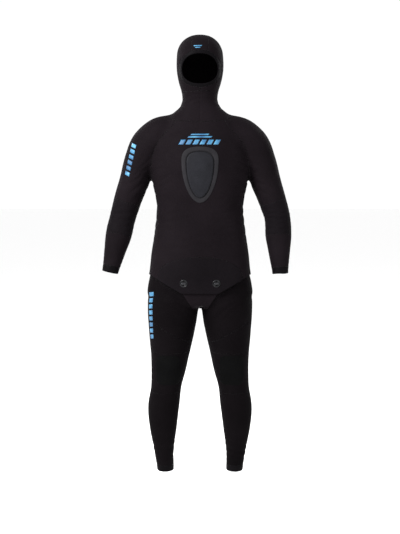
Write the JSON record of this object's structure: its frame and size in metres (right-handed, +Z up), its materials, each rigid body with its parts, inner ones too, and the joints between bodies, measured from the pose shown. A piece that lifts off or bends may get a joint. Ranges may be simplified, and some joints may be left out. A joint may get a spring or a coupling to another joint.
{
  "type": "two-piece hooded wetsuit",
  "caption": "Hooded spearfishing wetsuit in its worn shape: a pullover jacket with a chest pad and a crotch tail held by turn buttons, over high-waisted trousers.",
  "frame": {"origin": "the centre of the neck at the level where the hood's collar leaves the jacket, 1.51 m above the ground the wearer stands on", "axes": "+Z up, the suit's front faces -Y, the wearer's right side is -X"},
  "size_m": [0.7296, 0.2573, 1.686],
  "materials": {
    "neoprene_jersey": "matt knitted lining over foam",
    "stretch_jersey": "fine matt knit, stretchier",
    "smooth_skin": "satin foam skin",
    "knee_print": "satin abrasion print",
    "pad_rubber": "matt, finely ribbed",
    "black_plastic": "glossy moulding",
    "grey_plastic": "satin moulding"
  },
  "bodies": {
    "suit": {"neck_collar": "neoprene_jersey", "back_panel": "neoprene_jersey", "chest_panel": "neoprene_jersey", "right_upper_sleeve": "neoprene_jersey", "left_upper_sleeve": "neoprene_jersey", "trouser_front": "neoprene_jersey", "trouser_seat": "neoprene_jersey", "tail": "neoprene_jersey", "right_side_panel": "stretch_jersey", "left_side_panel": "stretch_jersey", "stomach_panel": "stretch_jersey", "right_elbow_panel": "stretch_jersey", "left_elbow_panel": "stretch_jersey", "trouser_waistband": "stretch_jersey", "right_groin_panel": "stretch_jersey", "left_groin_panel": "stretch_jersey", "chest_pad_border": "pad_rubber", "chest_pad_cushion": "pad_rubber", "right_button_plate": "black_plastic", "left_button_plate": "black_plastic", "right_eyelet": "black_plastic", "left_eyelet": "black_plastic", "right_eyelet_ring": "black_plastic", "left_eyelet_ring": "black_plastic", "right_button_pin": "grey_plastic", "left_button_pin": "grey_plastic"},
    "hood": {"hood_crown_strip": "neoprene_jersey", "hood_right_panel": "neoprene_jersey", "hood_left_panel": "neoprene_jersey", "face_seal": "smooth_skin"},
    "right_forearm": {"right_forearm_sleeve": "neoprene_jersey", "right_wrist_cuff": "smooth_skin"},
    "left_forearm": {"left_forearm_sleeve": "neoprene_jersey", "left_wrist_cuff": "smooth_skin"},
    "right_thigh": {"right_thigh_panel": "neoprene_jersey", "right_knee_panel": "stretch_jersey", "right_knee_pad": "knee_print"},
    "right_shin": {"right_shin_panel": "neoprene_jersey", "right_ankle_cuff": "smooth_skin"},
    "left_thigh": {"left_thigh_panel": "neoprene_jersey", "left_knee_panel": "stretch_jersey", "left_knee_pad": "knee_print"},
    "left_shin": {"left_shin_panel": "neoprene_jersey", "left_ankle_cuff": "smooth_skin"},
    "right_knob": {"right_button_knob": "grey_plastic"},
    "left_knob": {"left_button_knob": "grey_plastic"}
  },
  "joints": [
    {"name": "neck_turn", "type": "hinge", "parent": "suit", "child": "hood", "pos_m": [0, 0, 0.06], "axis": [0, 0, 1], "range_deg": [-45, 45], "stiffness_Nm_per_rad": 4, "deforming": ["neck_collar"]},
    {"name": "right_elbow_bend", "type": "hinge", "parent": "suit", "child": "right_forearm", "pos_m": [-0.3, 0.016, -0.394], "axis": [-1, 0, 0], "range_deg": [0, 90], "stiffness_Nm_per_rad": 3, "deforming": ["right_elbow_panel"]},
    {"name": "right_hip_bend", "type": "hinge", "parent": "suit", "child": "right_thigh", "pos_m": [-0.1, 0, -0.64], "axis": [-1, 0, 0], "range_deg": [-15, 60], "stiffness_Nm_per_rad": 8, "deforming": ["right_groin_panel"]},
    {"name": "right_knee_bend", "type": "hinge", "parent": "right_thigh", "child": "right_shin", "pos_m": [-0.123, 0.002, -0.99], "axis": [1, 0, 0], "range_deg": [0, 90], "stiffness_Nm_per_rad": 5, "deforming": ["right_knee_panel", "right_knee_pad"]},
    {"name": "right_button_turn", "type": "hinge", "parent": "suit", "child": "right_knob", "pos_m": [-0.06, -0.10115, -0.634], "axis": [-0.1154, -0.9933, 0], "range_deg": [0, 90]},
    {"name": "left_elbow_bend", "type": "hinge", "parent": "suit", "child": "left_forearm", "pos_m": [0.3, 0.016, -0.394], "axis": [-1, 0, 0], "range_deg": [0, 90], "stiffness_Nm_per_rad": 3, "deforming": ["left_elbow_panel"]},
    {"name": "left_hip_bend", "type": "hinge", "parent": "suit", "child": "left_thigh", "pos_m": [0.1, 0, -0.64], "axis": [-1, 0, 0], "range_deg": [-15, 60], "stiffness_Nm_per_rad": 8, "deforming": ["left_groin_panel"]},
    {"name": "left_knee_bend", "type": "hinge", "parent": "left_thigh", "child": "left_shin", "pos_m": [0.123, 0.002, -0.99], "axis": [1, 0, 0], "range_deg": [0, 90], "stiffness_Nm_per_rad": 5, "deforming": ["left_knee_panel", "left_knee_pad"]},
    {"name": "left_button_turn", "type": "hinge", "parent": "suit", "child": "left_knob", "pos_m": [0.06, -0.10115, -0.634], "axis": [0.1154, -0.9933, 0], "range_deg": [0, 90]}
  ]
}
